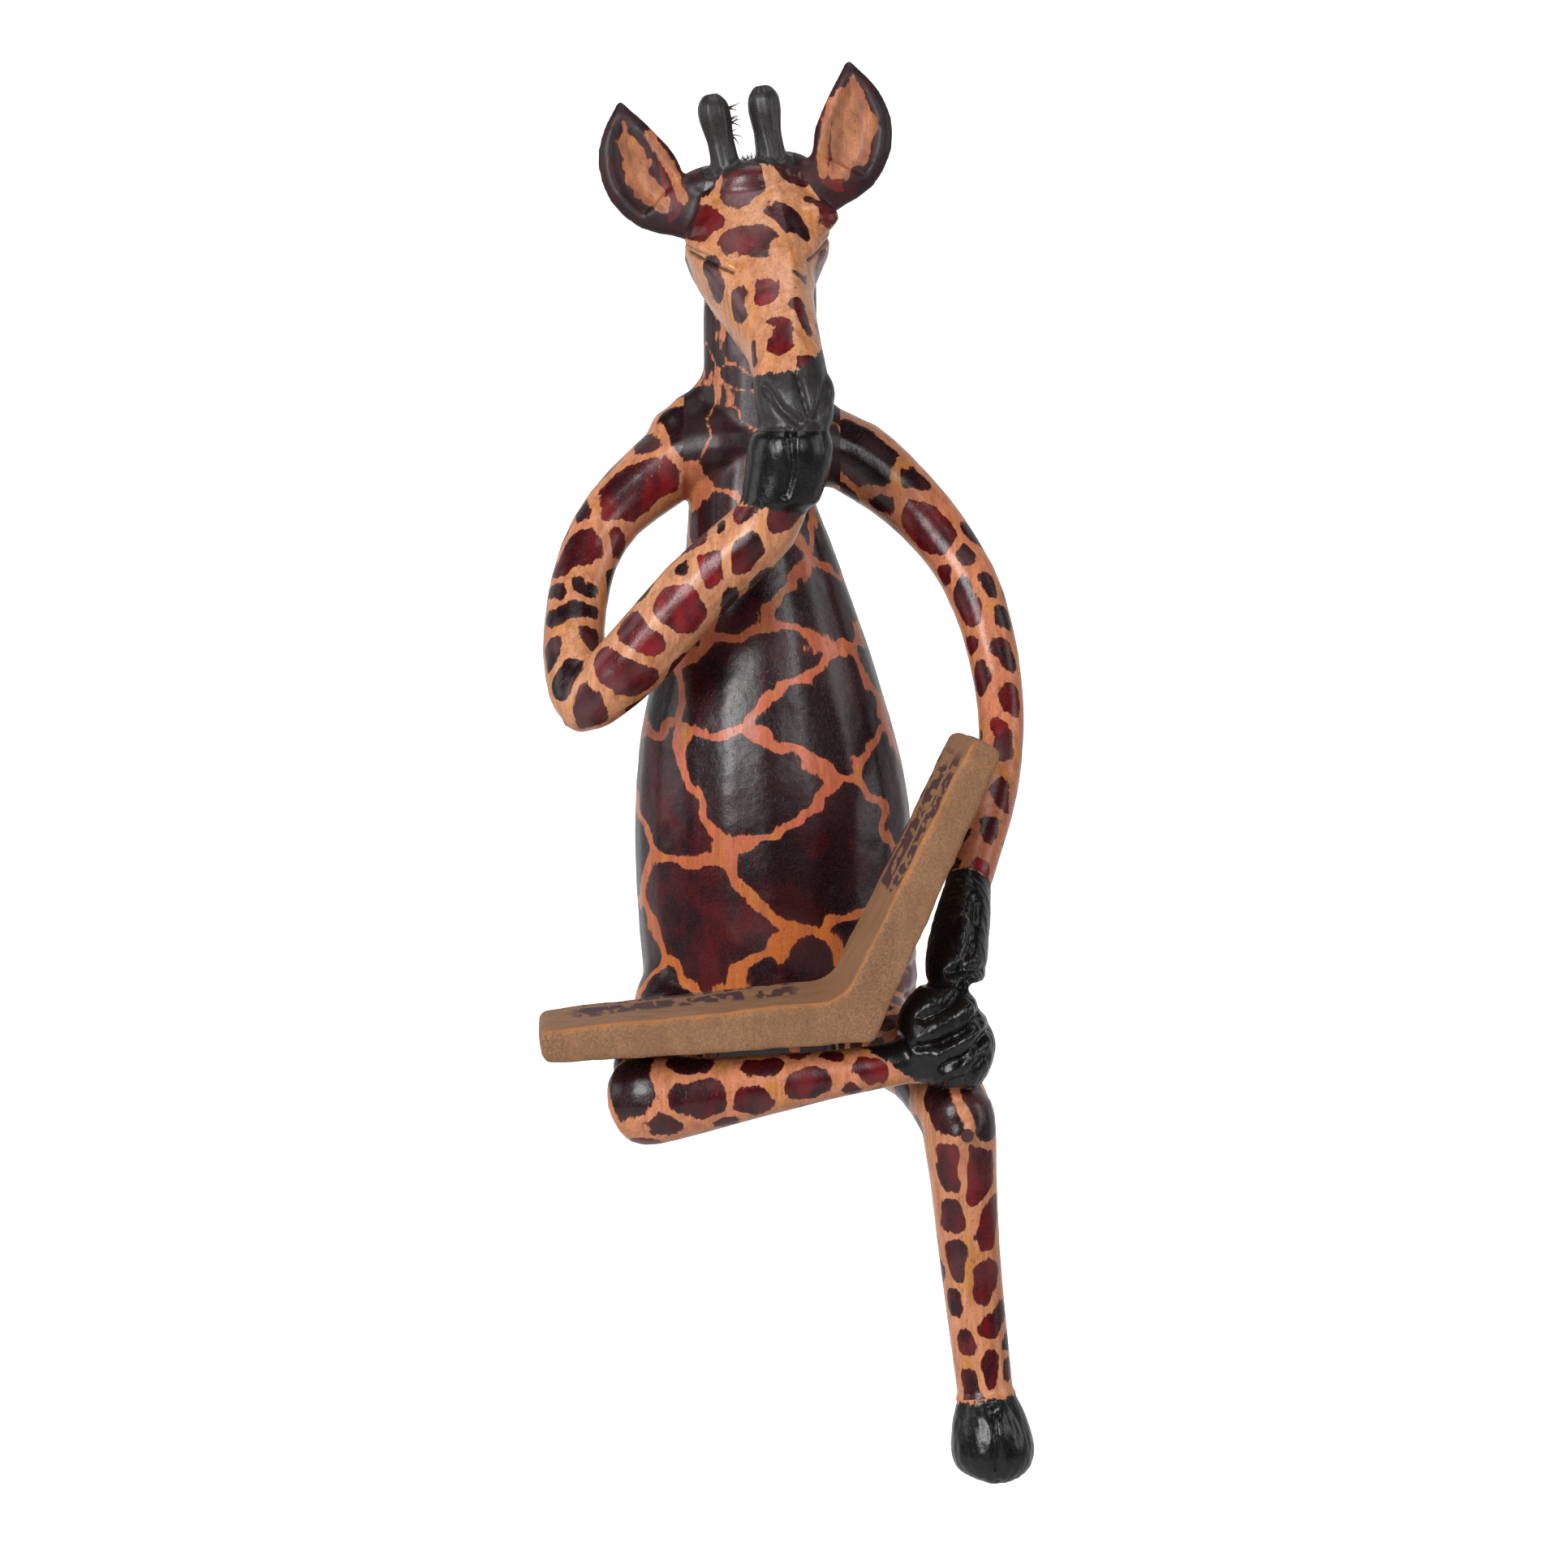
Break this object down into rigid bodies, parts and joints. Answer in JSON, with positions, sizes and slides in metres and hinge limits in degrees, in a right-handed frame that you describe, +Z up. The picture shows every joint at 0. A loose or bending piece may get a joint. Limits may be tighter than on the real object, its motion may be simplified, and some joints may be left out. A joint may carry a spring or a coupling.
{
  "type": "carved giraffe statue",
  "caption": "Carved wooden giraffe seated on a shelf edge, chin on hand, legs crossed, with an open wooden book in its lap.",
  "frame": {"origin": "centre of the flat seat face under the rump, which rests on a shelf", "axes": "+Z up out of the seat, -Y the way the figure faces, +X towards the figure's left hand, which is the viewer's right"},
  "size_m": [0.1188, 0.1336, 0.3383],
  "materials": {
    "lacquered_hide": "glossy lacquer over burnt and stained wood",
    "black_lacquer": "satin black stain under lacquer",
    "raw_board": "raw, speckled, dull",
    "dowel_wood": "raw",
    "mane_fibre": "coarse dark fibre",
    "dark_filler": "stained filler under lacquer"
  },
  "bodies": {
    "root": {"torso": "lacquered_hide", "head": "lacquered_hide", "ear_left": "lacquered_hide", "ear_right": "lacquered_hide", "horn_left": "black_lacquer", "horn_right": "black_lacquer", "mane": "mane_fibre", "bent_arm": "lacquered_hide", "resting_arm": "lacquered_hide", "chin_hoof": "black_lacquer", "knee_hoof": "black_lacquer", "crossed_leg": "lacquered_hide", "crossed_hoof": "black_lacquer", "hanging_leg": "lacquered_hide", "hanging_hoof": "black_lacquer", "book": "raw_board", "book_peg": "dowel_wood", "neck_dowel": "dowel_wood", "shoulder_dowels": "dowel_wood", "hip_dowels": "dowel_wood", "hoof_pins": "dowel_wood", "knee_plug": "dark_filler"}
  },
  "joints": []
}
